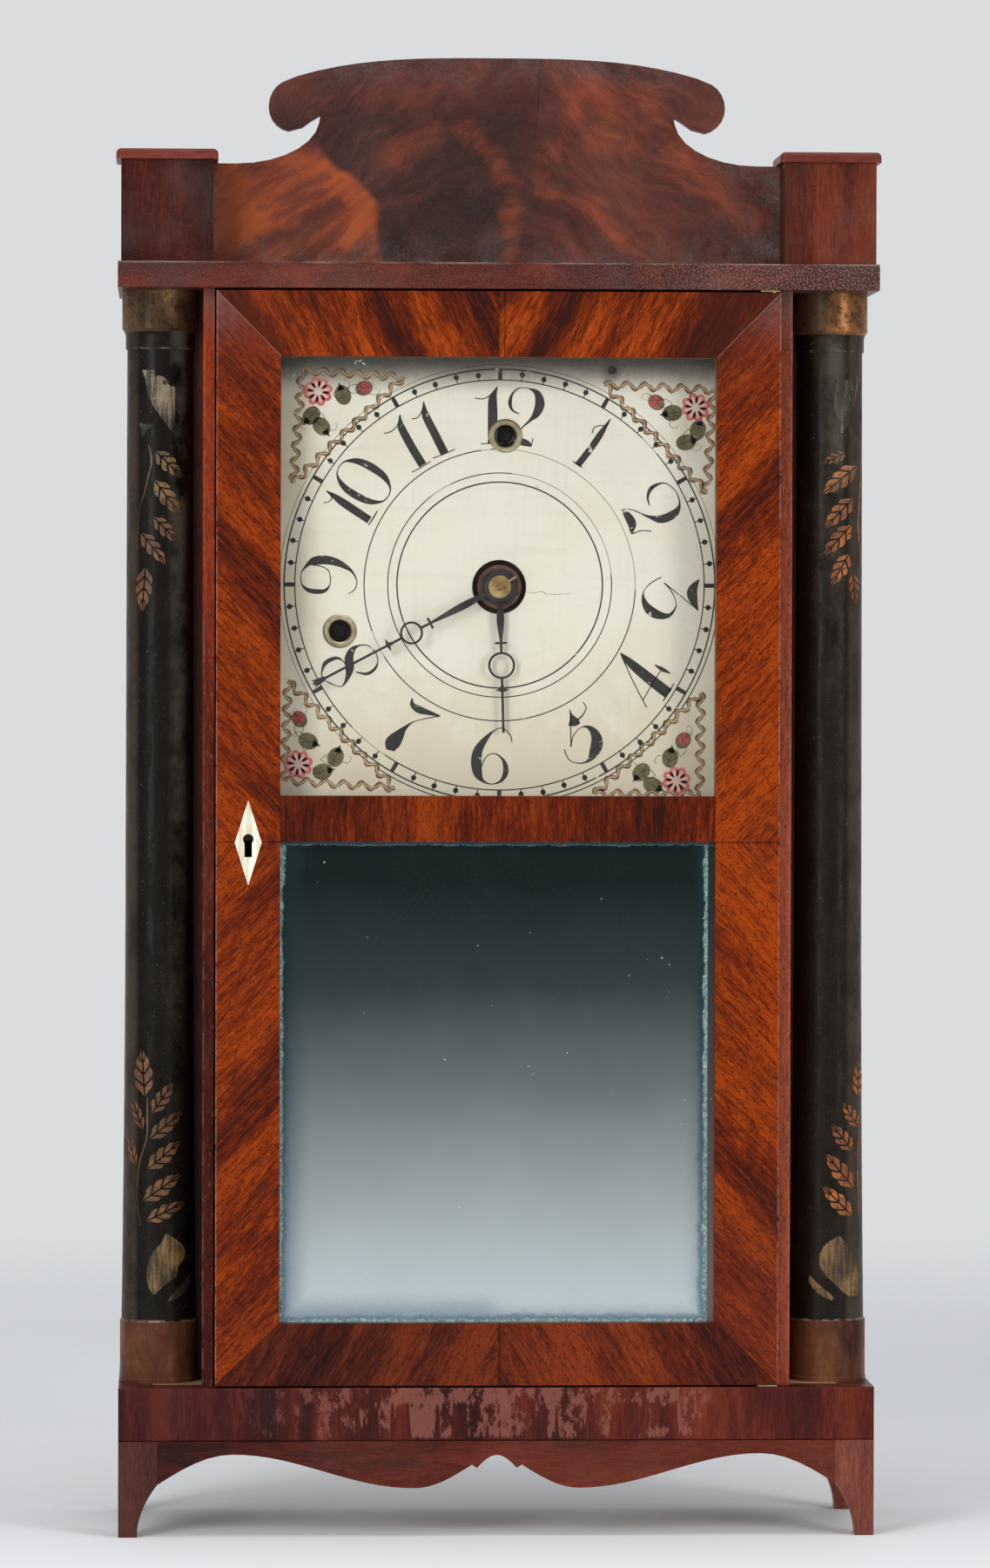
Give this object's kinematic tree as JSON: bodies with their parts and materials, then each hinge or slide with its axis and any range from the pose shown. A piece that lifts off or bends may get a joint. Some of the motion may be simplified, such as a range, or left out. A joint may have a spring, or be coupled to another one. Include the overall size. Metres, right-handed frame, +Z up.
{
  "type": "shelf clock",
  "caption": "Shelf clock with half columns and a shaped splat, a glazed door over a painted dial and a mirror, and a weight-driven wooden movement.",
  "frame": {"origin": "on the floor, under the middle of the case", "axes": "+X to the right as one faces the dial, +Y to the back, +Z up"},
  "size_m": [0.4484, 0.134, 0.8688],
  "materials": {
    "old_mahogany": "french polish, dusty and worn",
    "door_veneer": "polished mahogany veneer",
    "black_paint": "black paint with gold stencils",
    "pine": "raw, browned with age",
    "works_wood": "bare cherry and oak",
    "iron": "dark, lightly rusted",
    "brass": "aged",
    "bone": "satin",
    "glass": "clear, slightly wavy",
    "mirror": "decayed silvering",
    "dial_paint": "painted white, craquelure",
    "cord": "twisted linen"
  },
  "bodies": {
    "case": {"bracket_feet": "old_mahogany", "aprons": "old_mahogany", "base_rails": "old_mahogany", "floor_board": "pine", "side_boards": "old_mahogany", "front_posts": "old_mahogany", "back_board": "pine", "cornice_board": "old_mahogany", "plinth_blocks": "old_mahogany", "plinth_caps": "old_mahogany", "splat": "old_mahogany", "half_columns": "black_paint", "hinge_pins": "brass", "dial_board": "dial_paint", "winding_ferrules": "brass", "dial_cleats": "pine", "movement_rails": "pine", "front_plate": "works_wood", "back_plate": "works_wood", "plate_pillars": "works_wood", "suspension_pin": "iron", "bell": "iron", "pulley_brackets": "iron", "cord_runs": "cord"},
    "door": {"door_stile_left": "door_veneer", "door_stile_right": "door_veneer", "door_rail_top": "door_veneer", "door_rail_middle": "door_veneer", "door_rail_bottom": "door_veneer", "dial_glass": "glass", "mirror_plate": "mirror", "glass_retainers": "pine", "escutcheon": "bone", "lock_case": "iron"},
    "bolt": {"lock_bolt": "brass"},
    "winding_drum_time": {"time_drum": "works_wood"},
    "great_wheel_time": {"time_great_wheel": "works_wood"},
    "second_arbor": {"second_wheel": "works_wood"},
    "centre_arbor": {"center_wheel": "works_wood", "minute_hand": "iron", "hand_washer": "brass"},
    "third_arbor": {"third_wheel": "works_wood"},
    "escape_arbor": {"escape_wheel": "works_wood"},
    "motion_wheel": {"minute_wheel": "works_wood"},
    "hour_pipe": {"hour_wheel": "works_wood", "hour_hand": "iron"},
    "verge_arbor": {"verge": "iron"},
    "pendulum": {"pendulum_rod": "brass", "pendulum_bob": "brass"},
    "winding_drum_strike": {"strike_drum": "works_wood"},
    "great_wheel_strike": {"strike_great_wheel": "works_wood"},
    "strike_second_arbor": {"strike_second_wheel": "works_wood"},
    "fly_arbor": {"fly": "works_wood"},
    "hammer_arbor": {"hammer": "iron"},
    "left_pulley": {"pulley_left": "works_wood"},
    "right_pulley": {"pulley_right": "works_wood"},
    "left_weight": {"weight_left": "iron", "cord_drop_left": "cord"},
    "right_weight": {"weight_right": "iron", "cord_drop_right": "cord"}
  },
  "joints": [
    {"name": "door_hinge", "type": "hinge", "parent": "case", "child": "door", "pos_m": [0.1615, -0.061, 0.4091], "axis": [0, 0, 1], "range_deg": [0, 110]},
    {"name": "lock_bolt_slide", "type": "slide", "parent": "door", "child": "bolt", "axis": [-1, 0, 0], "range_m": [0, 0.008]},
    {"name": "minute_spin", "type": "hinge", "parent": "case", "child": "centre_arbor", "pos_m": [0.0015, 0.017, 0.557], "axis": [0, 1, 0], "continuous": true},
    {"name": "time_great_spin", "type": "hinge", "parent": "case", "child": "great_wheel_time", "pos_m": [0.005, 0.017, 0.646], "axis": [0, 1, 0], "continuous": true},
    {"name": "second_spin", "type": "hinge", "parent": "case", "child": "second_arbor", "pos_m": [0.01452, 0.017, 0.58798], "axis": [0, 1, 0], "continuous": true},
    {"name": "third_spin", "type": "hinge", "parent": "case", "child": "third_arbor", "pos_m": [-0.00631, 0.017, 0.52615], "axis": [0, 1, 0], "continuous": true},
    {"name": "escape_spin", "type": "hinge", "parent": "case", "child": "escape_arbor", "pos_m": [0.0015, 0.017, 0.497], "axis": [0, 1, 0], "continuous": true},
    {"name": "motion_spin", "type": "hinge", "parent": "case", "child": "motion_wheel", "pos_m": [0.02313, -0.008, 0.57214], "axis": [0, 1, 0], "continuous": true},
    {"name": "hour_spin", "type": "hinge", "parent": "case", "child": "hour_pipe", "pos_m": [0.0015, -0.018, 0.557], "axis": [0, 1, 0], "continuous": true},
    {"name": "pendulum_swing", "type": "hinge", "parent": "case", "child": "pendulum", "pos_m": [0.0015, -0.022, 0.52435], "axis": [0, 1, 0], "range_deg": [-4, 4]},
    {"name": "verge_rock", "type": "hinge", "parent": "case", "child": "verge_arbor", "pos_m": [0.0015, -0.014, 0.52435], "axis": [0, 1, 0], "range_deg": [-4.2, 4.2]},
    {"name": "strike_great_spin", "type": "hinge", "parent": "case", "child": "great_wheel_strike", "pos_m": [-0.0925, 0.017, 0.5308], "axis": [0, 1, 0], "continuous": true},
    {"name": "strike_second_spin", "type": "hinge", "parent": "case", "child": "strike_second_arbor", "pos_m": [-0.05877, 0.017, 0.48263], "axis": [0, 1, 0], "continuous": true},
    {"name": "fly_spin", "type": "hinge", "parent": "case", "child": "fly_arbor", "pos_m": [-0.08772, 0.017, 0.4721], "axis": [0, 1, 0], "continuous": true},
    {"name": "hammer_swing", "type": "hinge", "parent": "case", "child": "hammer_arbor", "pos_m": [0.0245, 0.017, 0.457], "axis": [0, 1, 0], "range_deg": [0, 18]},
    {"name": "right_weight_slide", "type": "slide", "parent": "case", "child": "right_weight", "axis": [0, 0, 1], "range_m": [-0.205, 0.235], "deforming": ["cord_drop_right"]},
    {"name": "left_weight_slide", "type": "slide", "parent": "case", "child": "left_weight", "axis": [0, 0, 1], "range_m": [-0.205, 0.235], "deforming": ["cord_drop_left"]},
    {"name": "time_drum_turn", "type": "hinge", "parent": "case", "child": "winding_drum_time", "pos_m": [0.005, 0.017, 0.646], "axis": [0, 1, 0], "range_deg": [-482, 421]},
    {"name": "strike_drum_turn", "type": "hinge", "parent": "case", "child": "winding_drum_strike", "pos_m": [-0.0925, 0.017, 0.5308], "axis": [0, 1, 0], "range_deg": [-421, 482]},
    {"name": "right_pulley_turn", "type": "hinge", "parent": "case", "child": "right_pulley", "pos_m": [0.1582, 0.024, 0.7], "axis": [0, 1, 0], "range_deg": [-692, 604]},
    {"name": "left_pulley_turn", "type": "hinge", "parent": "case", "child": "left_pulley", "pos_m": [-0.1582, 0.024, 0.7], "axis": [0, 1, 0], "range_deg": [-604, 692]}
  ],
  "couplings": [
    {"joint": "second_spin", "follows": "minute_spin", "ratio": -0.5},
    {"joint": "time_great_spin", "follows": "minute_spin", "ratio": 0.083333},
    {"joint": "third_spin", "follows": "minute_spin", "ratio": -8.5714},
    {"joint": "escape_spin", "follows": "minute_spin", "ratio": 78.367},
    {"joint": "motion_spin", "follows": "minute_spin", "ratio": -0.33333},
    {"joint": "hour_spin", "follows": "minute_spin", "ratio": 0.083333},
    {"joint": "verge_rock", "follows": "pendulum_swing", "ratio": 1},
    {"joint": "strike_second_spin", "follows": "strike_great_spin", "ratio": -6},
    {"joint": "fly_spin", "follows": "strike_great_spin", "ratio": 36},
    {"joint": "time_drum_turn", "follows": "right_weight_slide", "rad_per_m": -35.714},
    {"joint": "right_pulley_turn", "follows": "right_weight_slide", "rad_per_m": -51.282},
    {"joint": "strike_drum_turn", "follows": "left_weight_slide", "rad_per_m": 35.714},
    {"joint": "left_pulley_turn", "follows": "left_weight_slide", "rad_per_m": 51.282}
  ]
}
